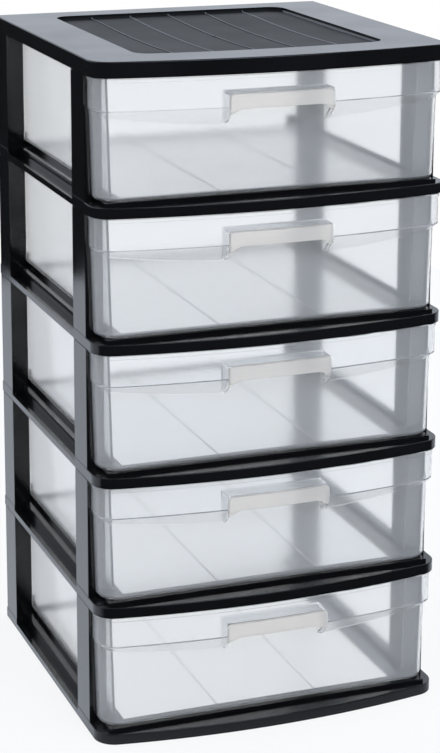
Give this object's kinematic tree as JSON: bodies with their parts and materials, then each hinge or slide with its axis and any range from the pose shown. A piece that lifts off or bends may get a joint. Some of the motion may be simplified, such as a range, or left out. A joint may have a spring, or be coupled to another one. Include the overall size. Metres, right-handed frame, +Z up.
{
  "type": "drawer tower",
  "caption": "Free-standing tower of bowed-front translucent drawers that slide in an open black frame of shelves and side frames under a recessed cover.",
  "frame": {"origin": "on the floor, in the middle of the footprint", "axes": "+Z up, -Y out of the drawer fronts, +X to the right seen from the front"},
  "size_m": [0.395, 0.3929, 0.7345],
  "materials": {
    "cover_black": "glossy black polypropylene rim, matte recessed panel",
    "shelf_black": "glossy black polypropylene",
    "side_frame_black": "glossy black polypropylene",
    "drawer_clear": "frosted translucent polypropylene"
  },
  "bodies": {
    "frame": {"top_cover": "cover_black", "shelf_1": "shelf_black", "shelf_2": "shelf_black", "shelf_3": "shelf_black", "shelf_4": "shelf_black", "base_tray": "shelf_black", "left_side_frame_1": "side_frame_black", "right_side_frame_1": "side_frame_black", "left_side_frame_2": "side_frame_black", "right_side_frame_2": "side_frame_black", "left_side_frame_3": "side_frame_black", "right_side_frame_3": "side_frame_black", "left_side_frame_4": "side_frame_black", "right_side_frame_4": "side_frame_black", "left_side_frame_5": "side_frame_black", "right_side_frame_5": "side_frame_black"},
    "drawer_1": {"drawer_1": "drawer_clear"},
    "drawer_2": {"drawer_2": "drawer_clear"},
    "drawer_3": {"drawer_3": "drawer_clear"},
    "drawer_4": {"drawer_4": "drawer_clear"},
    "drawer_5": {"drawer_5": "drawer_clear"}
  },
  "joints": [
    {"name": "drawer_1_slide", "type": "slide", "parent": "frame", "child": "drawer_1", "axis": [0, -1, 0], "range_m": [0, 0.28]},
    {"name": "drawer_2_slide", "type": "slide", "parent": "frame", "child": "drawer_2", "axis": [0, -1, 0], "range_m": [0, 0.28]},
    {"name": "drawer_3_slide", "type": "slide", "parent": "frame", "child": "drawer_3", "axis": [0, -1, 0], "range_m": [0, 0.28]},
    {"name": "drawer_4_slide", "type": "slide", "parent": "frame", "child": "drawer_4", "axis": [0, -1, 0], "range_m": [0, 0.28]},
    {"name": "drawer_5_slide", "type": "slide", "parent": "frame", "child": "drawer_5", "axis": [0, -1, 0], "range_m": [0, 0.28]}
  ]
}
